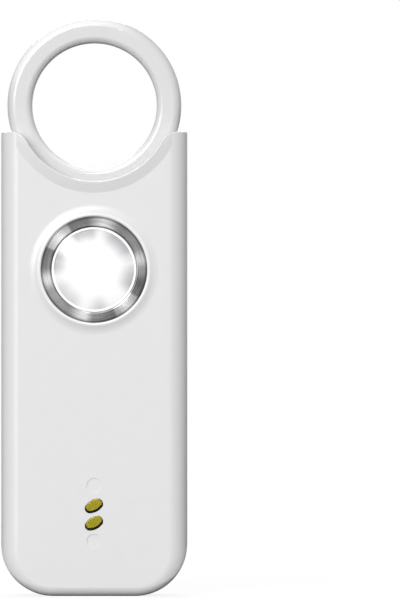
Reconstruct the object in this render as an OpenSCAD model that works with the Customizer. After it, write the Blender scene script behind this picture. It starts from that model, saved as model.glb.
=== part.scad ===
// Personal safety alarm: a pocket siren with a light. Pulling the ring out of its top sets it off.
// Sizes are in millimetres. The ring is at the top, +Z, and the light faces the front, -Y.
// The origin is the middle of the flat base.

/* [Body] */
// Width of the body
body_w = 35; // [34:0.5:40]
// Height of the body, from the base to the shoulders
body_h = 87.3; // [85.5:0.1:95]
// Thickness of the body, from the front face to the back face
body_t = 14; // [14:0.5:18]
// Radius of the two bottom corners, seen from the front
corner_r = 9.8; // [8:0.1:12]
// Rounding along the front and back edges of the sides
edge_r = 3.4; // [2.6:0.1:4.2]
// Rounding along the front and back edges of the base
base_r = 1.75; // [1.5:0.05:2.2]
// Wall thickness of both shells
wall = 1.6; // [1.3:0.1:1.8]
// Depth of the lip where the front shell enters the rear shell
join_lip = 1; // [0.6:0.1:1.4]
// Clearance between pieces that fit into each other
fit = 0.05; // [0.03:0.01:0.08]

/* [Pull ring] */
// Radius of the finger hole
ring_hole_r = 11.6; // [10.5:0.1:12.2]
// Width of the ring's band
ring_w = 4.8; // [4.4:0.1:5.2]
// Thickness of the ring, front to back
ring_t = 7; // [6.5:0.1:8]
// Rounding of the ring's outer edges
ring_edge_out = 1.6; // [1:0.1:2]
// Rounding of the ring's inner edges
ring_edge_in = 1.2; // [0.6:0.1:1.8]
// Height of the ring's centre above the shoulders
ring_rise = 4.7; // [4.2:0.1:5.5]
// Width of the band that the scoop's lip covers
ring_cover = 2.2; // [1.7:0.1:2.5]
// Clearance round the ring in its pocket
ring_gap = 0.25; // [0.15:0.05:0.3]
// Thickness of the pocket's floor
pocket_floor = 1.4; // [1:0.1:1.8]
// Rounding of the shoulders beside the scoop
shoulder_r = 3; // [2.4:0.1:3.4]
// Height of the raised lip along the front of the scoop
lip_rise = 0.45; // [0.2:0.05:0.6]
// Distance that the lip's rounded ends stay inside the body's sides
lip_side = 1.2; // [0.9:0.1:1.5]

/* [Trigger] */
// Width of the tongue under the ring
tongue_w = 8.4; // [7.4:0.2:9.4]
// Length of the tongue below the ring
tongue_l = 12.4; // [11.4:0.2:13.4]
// Thickness of the tongue
tongue_t = 1.8; // [1.4:0.1:2]
// Taper of each side of the tongue, for each millimetre of length
tongue_draft = 0.06; // [0.05:0.01:0.1]
// Clearance of the tongue in its slot and over the board
tongue_gap = 0.3; // [0.2:0.05:0.5]
// Height of the trigger's plunger above the tongue's tip
trigger_up = 2.6; // [2.2:0.1:3]
// Radius of the trigger's plunger
trigger_r = 0.55; // [0.4:0.05:0.7]
// Length of the trigger switch, across the body
trigger_l = 3.8; // [3.4:0.1:4.2]
// Width of the trigger switch, up the body
trigger_w = 3.4; // [2.8:0.1:4]
// Gap between the tongue and the trigger switch
trigger_reach = 1.8; // [1.6:0.1:2]
// Thickness of the retaining clip's strip
clip_t = 0.3; // [0.2:0.05:0.4]
// Width of the retaining clip's strip
clip_w = 5; // [4:0.2:6]
// Height of the retaining clip, end to end
clip_l = 8; // [7:0.2:8.4]

/* [Light button] */
// Distance of the light's centre below the ring's centre
light_drop = 30.65; // [30:0.05:32]
// Outer radius of the metal bezel
bezel_r = 9.95; // [9.7:0.05:10.3]
// Inner radius of the metal bezel
bezel_in = 8; // [7.8:0.1:8.2]
// Thickness of the bezel's flange
bezel_h = 0.6; // [0.5:0.05:0.8]
// Width of the chamfer inside the rim of the shell round the bezel
rim_chamfer = 0.25; // [0.15:0.05:0.3]
// Depth of the bezel's face below the top of that rim
bezel_sink = 0.2; // [0.15:0.05:0.3]
// Fall of the bezel's face from its outer edge to its inner edge
bezel_dish = 0.2; // [0.1:0.05:0.3]
// Wall thickness of the bezel's sleeve
sleeve_w = 1; // [0.8:0.05:1.1]
// Height of the swelling of the shell round the bezel
boss_h = 0.55; // [0.4:0.05:0.7]
// Width of the swelling outside the rim
boss_spread = 2.4; // [2:0.1:3]
// Width of the white collar that shows round the lens
collar_w = 0.4; // [0.3:0.05:0.5]
// Thickness of the lens at its edge
lens_edge = 0.85; // [0.6:0.05:1]
// Height of the lens's dome
lens_dome = 0.5; // [0.3:0.05:0.8]
// Height of the collar above the inner edge of the bezel's face
collar_rise = 0.05; // [0:0.05:0.15]
// Thickness of the collar's stop flange
collar_flange = 0.8; // [0.6:0.05:1]
// Width of the collar's stop flange outside the bezel's bore
collar_stop = 0.7; // [0.5:0.05:0.8]
// Outer radius of the reflector cup
reflector_r = 6.2; // [5.8:0.1:6.3]
// Space between the reflector cup and the lens, which the button's travel uses
reflector_gap = 1.3; // [1:0.05:1.6]
// Side of the light-emitting chip
chip_side = 3; // [2.6:0.1:3.1]
// Height of the light switch
switch_h = 2; // [1.6:0.1:2.2]
// Radius of the light switch's plunger
plunger_r = 0.7; // [0.5:0.05:0.8]
// Length of the light switch's plunger outside the switch
plunger_out = 0.7; // [0.6:0.05:1]

/* [Charging contacts] */
// Height of the middle of the two contacts above the base
contact_z = 15.55; // [15:0.05:17]
// Distance between the two contacts
contact_pitch = 3.25; // [3.2:0.05:3.6]
// Half of the length of a contact's oval
contact_a = 1.6; // [1.45:0.05:1.75]
// Half of the width of a contact's oval
contact_b = 0.9; // [0.8:0.05:1]
// Tilt of the ovals, in degrees
contact_tilt = 27; // [0:1:30]
// Height of the contacts above the front face
contact_proud = 0.2; // [0.1:0.05:0.3]
// Width of the dark insulating rim round a contact
insulator_w = 0.17; // [0.12:0.01:0.2]
// Distance that a rim sits below its contact, which makes it a crescent
rim_shift = 0.28; // [0.26:0.01:0.32]
// Distance of each magnet from the middle of the contacts
magnet_offset = 5.25; // [5:0.05:5.5]
// Radius of the magnets
magnet_r = 1.3; // [1.1:0.05:1.4]
// Depth of the dimple in front of each magnet
dimple_depth = 0.12; // [0.06:0.02:0.2]
// Thickness of the contact carrier
carrier_t = 1.2; // [1:0.1:1.4]

/* [Siren] */
// Distance of the siren's centre below the light's centre
siren_drop = 25.35; // [24:0.05:27]
// Radius of the brass disc
disc_r = 13.5; // [12:0.1:13.8]
// Thickness of the brass disc
disc_t = 0.3; // [0.2:0.05:0.4]
// Radius of the ceramic element
ceramic_r = 10; // [8.5:0.1:10.5]
// Thickness of the ceramic element
ceramic_t = 0.25; // [0.2:0.05:0.3]
// Depth of the sound chamber behind the disc
chamber_depth = 2.5; // [2:0.1:2.6]
// Width of the seat that the disc's edge rests on
seat_w = 1.3; // [1:0.1:1.5]
// Radius of a sound hole
sound_hole_r = 0.7; // [0.5:0.05:0.9]
// Distance between the rings of sound holes
sound_pitch = 3.1; // [2.6:0.1:3.4]
// Number of rings of sound holes
sound_rings = 2; // [1:1:3]

/* [Board and cell] */
// Thickness of the circuit board
board_t = 1; // [0.8:0.1:1.2]
// Distance of the board's front face ahead of the parting plane
board_ahead = 0.2; // [0:0.05:0.3]
// Gap between the board's edge and the shells
board_gap = 0.7; // [0.4:0.1:1]
// Width of the battery cell
cell_w = 20; // [18:0.5:21]
// Gap between the battery cell's upper end and the light button
cell_top_gap = 1.95; // [1:0.05:6]
// Gap between the battery cell's lower end and the contact carrier
cell_low_gap = 4.3; // [4:0.1:6]
// Gap between the battery cell and the front shell
cell_gap = 0.3; // [0.2:0.05:0.8]
// Thickness of the foam pad under the cell
pad_t = 0.7; // [0.4:0.05:0.7]
// Outer radius of the coil
coil_r = 3; // [2.4:0.1:3.2]
// Height of the coil
coil_h = 3.2; // [2.6:0.1:3.6]

/* [Screws] */
// Radius of the posts that the screws hold together
post_r = 2.6; // [2.4:0.1:2.8]
// Radius of a screw's shank
shank_r = 0.85; // [0.7:0.05:1]
// Radius of a screw's head
head_r = 1.6; // [1.4:0.05:1.7]
// Height of a screw's head
head_h = 1.1; // [0.9:0.1:1.3]
// Depth of the hole that a screw's head sits in
head_sink = 2; // [1.8:0.1:2.2]
// Distance of the upper screws from the body's side
screw_side_top = 4.7; // [4.6:0.1:5]
// Distance of the lower screws from the body's side
screw_side_low = 6.2; // [6:0.1:6.6]
// Height of the lower screws above the base
screw_low = 8; // [7.4:0.1:8.6]
// Distance of the upper screws below the board's top edge
screw_top_inset = 2; // [1.8:0.1:2.4]

/* [Hidden] */
$fn = 72;

// Planes across the thickness. A depth is counted from the parting plane towards the front.
front = body_t / 2;
front_inside = front - wall;
back_inside = body_t / 2 - wall;
board_front = board_ahead;
board_back = board_t - board_ahead;
eps = 0.01;
base_least = 0.3;
form_lap = 0.004;
over = 1;

// Ring, scoop and pocket
ring_out = ring_hole_r + ring_w;
ring_z = body_h + ring_rise;
scoop_r = ring_out - ring_cover;
pocket_r = ring_out + ring_gap;
pocket_half = ring_t / 2 + ring_gap;
ring_foot = ring_z - ring_out;
floor_z = ring_z - pocket_r - pocket_floor;
join_top = floor_z - 2 * join_lip;
shoulder_x = sqrt(pow(scoop_r + shoulder_r, 2) - pow(ring_rise + shoulder_r, 2));

// Tongue, trigger and clip. Their depths are counted from the parting plane towards the back.
tongue_front = board_back + tongue_gap;
tongue_mid = tongue_front + tongue_t / 2;
tongue_tip = ring_foot - tongue_l;
tongue_root = ring_w / 2;
trigger_z = tongue_tip + trigger_up;
trigger_x = tongue_w / 2 + trigger_reach;
trigger_h = 2 * (tongue_mid - board_back);
trigger_back = 1.6;
trigger_hole = 3;
clip_gap = 0.1;
clip_crown = tongue_front + tongue_t + clip_gap;
clip_z = floor_z - clip_l / 2 - 0.6;
clip_stop = 0.8;

// Light button. Its levels are depths towards the front.
light_z = ring_z - light_drop;
rim_top = front + boss_h;
rim_r = bezel_r + fit;
rim_land = 0.15;
boss_r = rim_r + rim_chamfer + rim_land + boss_spread;
boss_sink = 0.02;
boss_arc = (pow(boss_spread, 2) + pow(boss_h, 2)) / (2 * boss_h);
bezel_top = rim_top - bezel_sink;
bezel_seat = bezel_top - bezel_h;
bezel_edge = 0.1;
bezel_bevel = 0.3;
sleeve_r = bezel_in + sleeve_w;
sleeve_end = front_inside - 0.5;
collar_r = bezel_in - fit;
collar_top = bezel_top - bezel_dish + collar_rise;
lens_r = collar_r - collar_w - fit;
lens_seat = collar_top - lens_edge;
ledge_w = 0.6;
flange_top = sleeve_end - fit;
flange_bottom = flange_top - collar_flange;
flange_r = bezel_in + collar_stop;
bore_r = lens_r - ledge_w;
dome_r = (pow(lens_r, 2) + pow(lens_dome, 2)) / (2 * lens_dome);
reflector_top = lens_seat - reflector_gap;
reflector_rim = 0.3;
reflector_throat = chip_side * sqrt(2) / 2 + 0.1;
chip_h = 0.6;
switch_top = board_front + switch_h;
plunger_top = switch_top + plunger_out;
plunger_in = 0.45;
switch_hole = 0.9;
switch_y_side = 2.8;
switch_x_side = 3.4;
switch_z = light_z - (bore_r + flange_r) / 2;

// Contacts and magnets
contact_heights = [contact_z + contact_pitch / 2, contact_z - contact_pitch / 2];
magnet_heights = [contact_z + magnet_offset, contact_z - magnet_offset];
contact_end_r = contact_b * 0.78;
contact_post_r = 0.5;
magnet_sink = wall / 2;
carrier_back = front_inside - carrier_t;
carrier_half_w = 3;
carrier_half_h = magnet_offset + magnet_r + 0.8;

// Board, cell and siren
board_top = floor_z - 0.95;
board_edge = wall + board_gap;
cell_z = contact_z + carrier_half_h + cell_low_gap;
cell_h = light_z - flange_r - cell_top_gap - cell_z;
cell_back = board_front + pad_t;
cell_t = front_inside - cell_back - cell_gap;
cell_round = 1.2;
guard_w = 18;
guard_h = 3;
guard_t = 0.8;
lead_r = 0.45;
lead_spread = 4;
lead_bend = cell_back + cell_t / 2 - board_front;
siren_z = light_z - siren_drop;
seat_level = back_inside - chamber_depth;
disc_front = seat_level - disc_t;
ceramic_front = disc_front - ceramic_t;
guard_lip = 0.6;
seat_in = disc_r - seat_w;
siren_lead_r = 0.3;
siren_top = siren_z + disc_r + fit + guard_lip;
parts_z = (siren_top + tongue_tip) / 2 + 0.8;
board_side = body_w / 2 - board_edge;
coil_side = 3.7;
coil_x = coil_r + coil_side - board_side;
coil_flange = 0.6;
coil_hub = 1.5;
coil_inset = 0.2;
chip_side_gap = 10.7;
chip_x = board_side - chip_side_gap;
row_drop = 5;

// Screws
screw_top_z = board_top - screw_top_inset;
screw_spots = [
    [body_w / 2 - screw_side_top, screw_top_z],
    [-body_w / 2 + screw_side_top, screw_top_z],
    [body_w / 2 - screw_side_low, screw_low],
    [-body_w / 2 + screw_side_low, screw_low]
];
head_seat = body_t / 2 - head_sink;
head_gap = 0.15;
screw_gap = 0.2;
pilot_gap = 0.05;
pilot_end = 1.2;
screw_tip = 1.8;

// Helpers

// Extrudes a shape drawn in X and Z between two places on the Y axis
module slab(y0, y1) {
    translate([0, y1, 0])
        rotate([90, 0, 0])
            linear_extrude(height = y1 - y0)
                children();
}

// Revolves a profile of radius and depth about an axis along Y; depth grows towards the front
module turned(x, z) {
    translate([x, 0, z])
        rotate([90, 0, 0])
            rotate_extrude()
                children();
}

// Rod along Y between two places on that axis
module rod(x, z, r, y0, y1) {
    translate([x, y1, z])
        rotate([90, 0, 0])
            cylinder(r = r, h = y1 - y0);
}

// Box from one corner to the opposite corner
module block(low, high) {
    translate(low)
        cube(high - low);
}

// Rectangle with round corners
module round_rect(half_w, half_h, r) {
    square([2 * half_w, 2 * (half_h - r)], center = true);
    square([2 * (half_w - r), 2 * half_h], center = true);
    for (x = [-1, 1], y = [-1, 1])
        translate([x * (half_w - r), y * (half_h - r)])
            circle(r);
}

// Half of that rectangle, to the right of its middle
module half_round_rect(half_w, half_h, r) {
    intersection() {
        round_rect(half_w, half_h, r);
        translate([0, -half_h])
            square([half_w, 2 * half_h]);
    }
}

// Oval of four arcs, with half axes a and b and a small radius at its two ends
module oval(a, b, end_r) {
    side_r = (a * a + b * b - 2 * a * end_r) / (2 * (b - end_r));
    join_x = (a - end_r) * side_r / (side_r - end_r);
    for (x = [-1, 1])
        translate([x * (a - end_r), 0])
            circle(end_r);
    intersection() {
        translate([0, b - side_r])
            circle(side_r);
        translate([0, side_r - b])
            circle(side_r);
        square([2 * join_x, 4 * b], center = true);
    }
}

// Outline of the body seen from the front, moved in by an inset
module face_outline(inset, top) {
    half_w = body_w / 2 - inset;
    middle = body_w / 2 - corner_r;
    translate([-half_w, corner_r])
        square([2 * half_w, top - corner_r]);
    translate([-middle, inset])
        square([2 * middle, corner_r - inset]);
    for (x = [-1, 1])
        translate([x * middle, corner_r])
            circle(corner_r - inset);
}

// Lower end of a form with its two corners, let down by a drop and moved in by an inset
module round_end(inset, drop, half_t, r) {
    middle = body_w / 2 - corner_r;
    centre_z = corner_r - drop;
    for (side = [0, 1])
        mirror([side, 0, 0])
            translate([middle, 0, centre_z])
                rotate([90, 0, 0])
                    rotate([0, 0, -90])
                        rotate_extrude(angle = 90)
                            half_round_rect(corner_r - inset, half_t, r);
    translate([middle, 0, centre_z])
        rotate([0, -90, 0])
            linear_extrude(height = 2 * middle)
                mirror([1, 0])
                    half_round_rect(corner_r - inset, half_t, r);
}

// Upright form with round lower corners and its front and back edges rounded
module round_form(inset, drop, half_t, r, top) {
    translate([0, 0, corner_r - drop])
        linear_extrude(height = top - corner_r + drop)
            round_rect(body_w / 2 - inset, half_t, r);
    round_end(inset, drop, half_t, r);
}

// Body, moved in by an inset on every side: one form sets its thickness and its wide rounded sides,
// the other its width and the closer rounding along its base
module body_solid(inset = 0, top = body_h) {
    half_t = body_t / 2 - inset;
    intersection() {
        round_form(inset - form_lap, edge_r - base_r, half_t, edge_r - inset, top);
        round_form(inset, 0, half_t + form_lap, max(base_r - inset, base_least), top);
    }
}

// Space inside both shells, below the ring's pocket
module cavity() {
    difference() {
        body_solid(inset = wall, top = body_h - wall);
        rod(0, ring_z, pocket_r + pocket_floor, -body_t, body_t);
    }
}

// Pocket that the lower part of the ring sits in
module ring_pocket() {
    rod(0, ring_z, pocket_r, -pocket_half, pocket_half);
}

// Scoop in the top, concentric with the ring and rounded into the shoulders
module scoop() {
    join = scoop_r / (scoop_r + shoulder_r);
    join_x = shoulder_x * join;
    join_z = ring_z - (ring_rise + shoulder_r) * join;
    slab(-body_t, body_t) {
        translate([0, ring_z])
            circle(scoop_r);
        difference() {
            polygon([
                [-join_x, join_z], [join_x, join_z], [shoulder_x, body_h], [shoulder_x, body_h + over],
                [-shoulder_x, body_h + over], [-shoulder_x, body_h]
            ]);
            for (x = [-1, 1])
                translate([x * shoulder_x, body_h - shoulder_r])
                    circle(shoulder_r);
        }
    }
}

// Raised lip along the scoop: a shallow cone round the ring's axis that dies into the front face
module scoop_lip() {
    foot = 2;
    foot_r = scoop_r + foot * ring_cover;
    foot_level = front + lip_rise - foot * lip_rise;
    root = front - wall / 2;
    intersection() {
        turned(0, ring_z)
            polygon([
                [scoop_r - over, root], [foot_r, root], [foot_r, foot_level],
                [scoop_r, front + lip_rise], [scoop_r - over, front + lip_rise]
            ]);
        translate([0, 0, floor_z])
            linear_extrude(height = body_h - floor_z)
                round_rect(body_w / 2 - lip_side, front + lip_rise, edge_r);
    }
}

// Swelling of the front face, with the rim that the bezel sits in
module light_boss() {
    turned(0, light_z)
        difference() {
            translate([sleeve_r - over, front - wall / 2])
                square([boss_r - sleeve_r + over, wall / 2 + boss_h]);
            translate([boss_r, front + boss_arc - boss_sink])
                circle(boss_arc, $fn = 180);
        }
}

// Recess that the bezel sits in, and the opening for its sleeve
module bezel_recess() {
    turned(0, light_z)
        polygon([
            [0, front_inside - over], [sleeve_r + fit, front_inside - over], [sleeve_r + fit, bezel_seat],
            [rim_r, bezel_seat], [rim_r, rim_top - rim_chamfer], [rim_r + rim_chamfer + over, rim_top + over],
            [0, rim_top + over]
        ]);
}

// Plate across the parting plane, whose edge is the lip that locks the shells together
module join_plate(inset, top, depth) {
    slab(-eps, depth)
        face_outline(inset, top);
}

// One contact's oval at its place on the front, grown by an amount and let down by a shift
module contact_oval(z, grow, shift = 0) {
    translate([0, z - shift])
        rotate(contact_tilt)
            oval(contact_a + grow, contact_b + grow, contact_end_r + grow);
}

// Quarter turn of round wire from the cell's lower end to the board
module bent_lead(x) {
    translate([x, -board_front, cell_z])
        rotate([0, 90, 0])
            rotate([0, 0, -90])
                rotate_extrude(angle = 90)
                    translate([lead_bend, 0])
                        circle(lead_r);
}

// Short wire with two bends from a plate of the siren to the board's back; turn 1 leads it upwards
module siren_lead(plate_z, level, turn) {
    bend = (level - board_back) / 2;
    translate([0, 0, plate_z])
        mirror([0, 0, turn]) {
            translate([0, board_back, -bend])
                rotate([0, 90, 0])
                    rotate_extrude(angle = 90)
                        translate([bend, 0])
                            circle(siren_lead_r);
            translate([0, level, -bend])
                rotate([0, 90, 0])
                    rotate([0, 0, 180])
                        rotate_extrude(angle = 90)
                            translate([bend, 0])
                                circle(siren_lead_r);
        }
}

// Front shell: moulded plastic, with the scoop's lip, the seat of the light and the holes of the contacts
module front_shell() {
    color("whitesmoke")
        difference() {
            union() {
                difference() {
                    union() {
                        intersection() {
                            body_solid();
                            block([-body_w, -body_t, -over], [body_w, 0, body_h + over]);
                        }
                        join_plate(wall / 2, join_top, join_lip);
                        scoop_lip();
                        light_boss();
                    }
                    cavity();
                }
                for (s = screw_spots)
                    rod(s[0], s[1], post_r, -front_inside - wall / 2, -board_front);
            }
            ring_pocket();
            scoop();
            bezel_recess();
            for (z = contact_heights)
                slab(-front - over, -front_inside + over) {
                    contact_oval(z, fit);
                    contact_oval(z, insulator_w + fit, rim_shift);
                }
            for (z = magnet_heights) {
                rod(0, z, magnet_r + fit, -front - over, -front + dimple_depth);
                rod(0, z, magnet_r + fit, -front_inside - magnet_sink, -front_inside + over);
            }
            for (s = screw_spots)
                rod(s[0], s[1], shank_r + pilot_gap, -front_inside + pilot_end, 0);
        }
}

// Rear shell: moulded plastic, with the sound holes, the siren's seat and the slot for the tongue
module rear_shell() {
    slot_half = tongue_w / 2 + tongue_gap;
    color("whitesmoke")
        difference() {
            union() {
                difference() {
                    intersection() {
                        body_solid();
                        block([-body_w, 0, -over], [body_w, body_t, body_h + over]);
                    }
                    cavity();
                    join_plate(wall / 2 - fit, join_top + fit, join_lip + fit);
                }
                for (s = screw_spots)
                    rod(s[0], s[1], post_r, board_back, back_inside + wall / 2);
                siren_seat();
                clip_stops();
            }
            ring_pocket();
            scoop();
            block(
                [-slot_half, tongue_front - tongue_gap, floor_z - over],
                [slot_half, tongue_front + tongue_t + tongue_gap, ring_z]
            );
            for (s = screw_spots) {
                rod(s[0], s[1], shank_r + screw_gap, 0, body_t);
                rod(s[0], s[1], head_r + head_gap, head_seat, body_t);
            }
            sound_holes();
        }
}

// Ledge and rim that hold the siren's disc off the back wall
module siren_seat() {
    turned(0, siren_z)
        polygon([
            [seat_in, -back_inside - wall / 2], [seat_in, -seat_level],
            [disc_r + fit, -seat_level], [disc_r + fit, -disc_front],
            [disc_r + fit + guard_lip, -disc_front], [disc_r + fit + guard_lip, -back_inside - wall / 2]
        ]);
}

// Two ribs that keep the ends of the retaining clip in place
module clip_stops() {
    for (z = [clip_z - clip_l / 2 - fit - clip_stop, clip_z + clip_l / 2 + fit])
        block(
            [-clip_w / 2, back_inside - clip_stop, z],
            [clip_w / 2, back_inside + wall / 2, z + clip_stop]
        );
}

// Sound holes in rings round the siren's centre
module sound_holes() {
    for (ring = [0:sound_rings])
        for (i = [0:max(0, 6 * ring - 1)])
            let (turn = 360 * i / max(1, 6 * ring))
                rod(
                    ring * sound_pitch * cos(turn), siren_z + ring * sound_pitch * sin(turn),
                    sound_hole_r, back_inside - eps, body_t
                );
}

// Self-tapping screws with cross heads, one in each post
module shell_screws() {
    cross_w = head_r / 3;
    cross_l = head_r * 0.6;
    color("silver")
        for (s = screw_spots)
            difference() {
                union() {
                    rod(s[0], s[1], shank_r, -front_inside + screw_tip, head_seat + eps);
                    rod(s[0], s[1], head_r, head_seat, head_seat + head_h);
                }
                for (turn = [0, 90])
                    translate([s[0], head_seat + head_h, s[1]])
                        rotate([0, turn, 0])
                            cube([2 * cross_l, head_h, cross_w], center = true);
            }
}

// Bezel: a turned metal ring with a sleeve that guides the button
module bezel() {
    color("silver")
        turned(0, light_z)
            polygon([
                [bezel_in, sleeve_end], [sleeve_r, sleeve_end], [sleeve_r, bezel_seat], [bezel_r, bezel_seat],
                [bezel_r, bezel_top - bezel_edge], [bezel_r - bezel_edge, bezel_top],
                [bezel_in + bezel_bevel, bezel_top - bezel_dish],
                [bezel_in, bezel_top - bezel_dish - bezel_bevel]
            ]);
}

// Button collar: white plastic, with a stop flange behind the bezel and a nub over the switch
module button_collar() {
    color("white") {
        turned(0, light_z)
            polygon([
                [bore_r, flange_bottom], [flange_r, flange_bottom], [flange_r, flange_top],
                [collar_r, flange_top], [collar_r, collar_top], [lens_r + fit, collar_top],
                [lens_r + fit, lens_seat], [bore_r, lens_seat]
            ]);
        rod(0, switch_z, plunger_r, -flange_bottom - eps, -plunger_top);
    }
}

// Button lens: clear plastic with a low dome
module button_lens() {
    color("aliceblue")
        turned(0, light_z)
            intersection() {
                translate([0, lens_seat])
                    square([lens_r, lens_edge + lens_dome + over]);
                translate([0, collar_top + lens_dome - dome_r])
                    circle(dome_r, $fn = 720);
            }
}

// Light switch: the fixed part, soldered to the board under the collar's nub
module light_switch() {
    color("dimgray")
        difference() {
            block(
                [-switch_x_side / 2, -switch_top, switch_z - switch_y_side / 2],
                [switch_x_side / 2, -board_front, switch_z + switch_y_side / 2]
            );
            rod(0, switch_z, plunger_r + fit, -switch_top - over, -switch_top + switch_hole);
        }
}

// Light switch plunger: travels with the button
module light_switch_plunger() {
    color("black")
        rod(0, switch_z, plunger_r, -plunger_top, -switch_top + plunger_in);
}

// Reflector: a metallised cup on the board round the light-emitting chip
module reflector() {
    color("lightgray")
        turned(0, light_z)
            polygon([
                [reflector_throat, board_front], [reflector_r, board_front], [reflector_r, reflector_top],
                [reflector_r - reflector_rim, reflector_top], [reflector_throat, board_front + chip_h]
            ]);
}

// Light-emitting chip with its yellow dome
module light_chip() {
    color("khaki") {
        block(
            [-chip_side / 2, -board_front - chip_h, light_z - chip_side / 2],
            [chip_side / 2, -board_front, light_z + chip_side / 2]
        );
        intersection() {
            translate([0, -board_front - chip_h, light_z])
                sphere(chip_side * 0.4);
            block(
                [-chip_side, -front, light_z - chip_side],
                [chip_side, -board_front - chip_h / 2, light_z + chip_side]
            );
        }
    }
}

// Side of the tongue at a height, for the ring at rest
function tongue_half(z) = tongue_w / 2 - tongue_draft * (ring_foot - z);

// Pull ring: one moulding of a round ring and the tongue that holds the trigger down
module pull_ring() {
    tip_cut = 0.8;
    tip_half = tongue_half(tongue_tip);
    color("whitesmoke") {
        turned(0, ring_z)
            ring_section();
        slab(tongue_front, tongue_front + tongue_t)
            polygon([
                [-tip_half + tip_cut, tongue_tip], [tip_half - tip_cut, tongue_tip],
                [tongue_half(tongue_tip + tip_cut), tongue_tip + tip_cut],
                [tongue_half(ring_foot), ring_foot], [tongue_half(ring_foot), ring_foot + tongue_root],
                [-tongue_half(ring_foot), ring_foot + tongue_root], [-tongue_half(ring_foot), ring_foot],
                [-tongue_half(tongue_tip + tip_cut), tongue_tip + tip_cut]
            ]);
    }
}

// Section of the ring's band, with larger rounds outside than inside
module ring_section() {
    split = ring_hole_r + ring_w / 2;
    intersection() {
        translate([split, 0])
            round_rect(ring_w / 2, ring_t / 2, ring_edge_out);
        translate([split, -ring_t / 2])
            square([ring_w / 2, ring_t]);
    }
    intersection() {
        translate([split, 0])
            round_rect(ring_w / 2, ring_t / 2, ring_edge_in);
        translate([ring_hole_r, -ring_t / 2])
            square([ring_w / 2, ring_t]);
    }
}

// Retaining clip: an arched strip of spring metal that rubs on the tongue's back
module retaining_clip() {
    rise = back_inside - clip_crown;
    arc_r = (pow(clip_l / 2, 2) + pow(rise, 2)) / (2 * rise);
    color("goldenrod")
        intersection() {
            translate([-clip_w / 2, clip_crown + arc_r, clip_z])
                rotate([0, 90, 0])
                    difference() {
                        cylinder(r = arc_r, h = clip_w);
                        translate([0, 0, -over])
                            cylinder(r = arc_r - clip_t, h = clip_w + 2 * over);
                    }
            block([-body_w, 0, 0], [body_w, back_inside, body_h]);
        }
}

// Trigger switch: the fixed part, on the back of the board beside the tongue
module trigger_switch() {
    color("dimgray")
        difference() {
            block(
                [trigger_x, board_back, trigger_z - trigger_w / 2],
                [trigger_x + trigger_l, board_back + trigger_h, trigger_z + trigger_w / 2]
            );
            translate([trigger_x - over, tongue_mid, trigger_z])
                rotate([0, 90, 0])
                    cylinder(r = trigger_r + fit, h = over + trigger_hole);
        }
}

// Trigger plunger: held in by the tongue's side, and let out as the ring leaves
module trigger_plunger() {
    tip = tongue_half(trigger_z + trigger_r) + fit;
    color("ivory")
        translate([tip, tongue_mid, trigger_z])
            rotate([0, 90, 0])
                cylinder(r = trigger_r, h = trigger_x + trigger_back - tip);
}

// Charging contact: a gold-plated oval stud with a post down to the board
module charge_contact(z) {
    color("gold") {
        slab(-front - contact_proud, -carrier_back)
            contact_oval(z, 0);
        rod(0, z, contact_post_r, -carrier_back - eps, -board_front);
    }
}

// Contact carrier: black plastic that insulates the contacts and holds the magnets
module contact_carrier() {
    rim_sink = 0.05;
    color("black")
        difference() {
            union() {
                block(
                    [-carrier_half_w, -front_inside, contact_z - carrier_half_h],
                    [carrier_half_w, -carrier_back, contact_z + carrier_half_h]
                );
                for (z = contact_heights)
                    slab(-front + rim_sink, -front_inside + eps)
                        contact_oval(z, insulator_w, rim_shift);
            }
            for (z = contact_heights)
                slab(-front - over, 0)
                    contact_oval(z, fit / 2);
            for (z = magnet_heights)
                rod(0, z, magnet_r + fit, -front, 0);
        }
}

// Charging magnet: a disc in the carrier, close behind the front face
module charge_magnet(z) {
    color("darkgray")
        rod(0, z, magnet_r, -front_inside - magnet_sink + fit, -carrier_back);
}

// Main board, held between the front and rear posts
module main_board() {
    color("seagreen")
        difference() {
            slab(-board_front, board_back)
                face_outline(board_edge, board_top);
            for (s = screw_spots)
                rod(s[0], s[1], shank_r + screw_gap, -front, front);
        }
}

// Battery cell: a soft pouch with round long edges
module battery_cell() {
    color("lightsteelblue")
        translate([0, -cell_back - cell_t / 2, cell_z])
            linear_extrude(height = cell_h)
                round_rect(cell_w / 2, cell_t / 2, cell_round);
}

// Guard board of the cell, across its lower end
module cell_guard_board() {
    color("darkkhaki")
        block(
            [-guard_w / 2, -cell_back - cell_t / 2 - guard_t - lead_r, cell_z - guard_h],
            [guard_w / 2, -cell_back - cell_t / 2 - lead_r, cell_z]
        );
}

// Foam pad that sticks the cell to the board
module cell_pad() {
    inset = 2;
    color("gray")
        block(
            [-cell_w / 2 + inset, -cell_back, cell_z + inset],
            [cell_w / 2 - inset, -board_front, cell_z + cell_h - inset]
        );
}

// Cell leads: insulated wires from the guard board down to the main board
module cell_lead_red() {
    color("red")
        bent_lead(-lead_spread);
}

module cell_lead_black() {
    color("black")
        bent_lead(lead_spread);
}

// Siren disc: brass, resting on its seat by the edge
module siren_disc() {
    color("goldenrod")
        rod(0, siren_z, disc_r, disc_front, seat_level);
}

// Siren ceramic: the element that drives the disc
module siren_ceramic() {
    color("ivory")
        rod(0, siren_z, ceramic_r, ceramic_front, disc_front);
}

// Siren gasket: a soft ring that the board presses on the disc's edge
module siren_gasket() {
    color("darkslategray")
        difference() {
            rod(0, siren_z, disc_r - fit, board_back, disc_front);
            rod(0, siren_z, seat_in, 0, front);
        }
}

// Siren leads: one to the bare rim of the disc, one to the ceramic
module siren_lead_disc() {
    color("red")
        siren_lead(siren_z - (ceramic_r + seat_in) / 2, disc_front, 1);
}

module siren_lead_ceramic() {
    color("black")
        siren_lead(siren_z + ceramic_r * 0.75, ceramic_front, 0);
}

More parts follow.
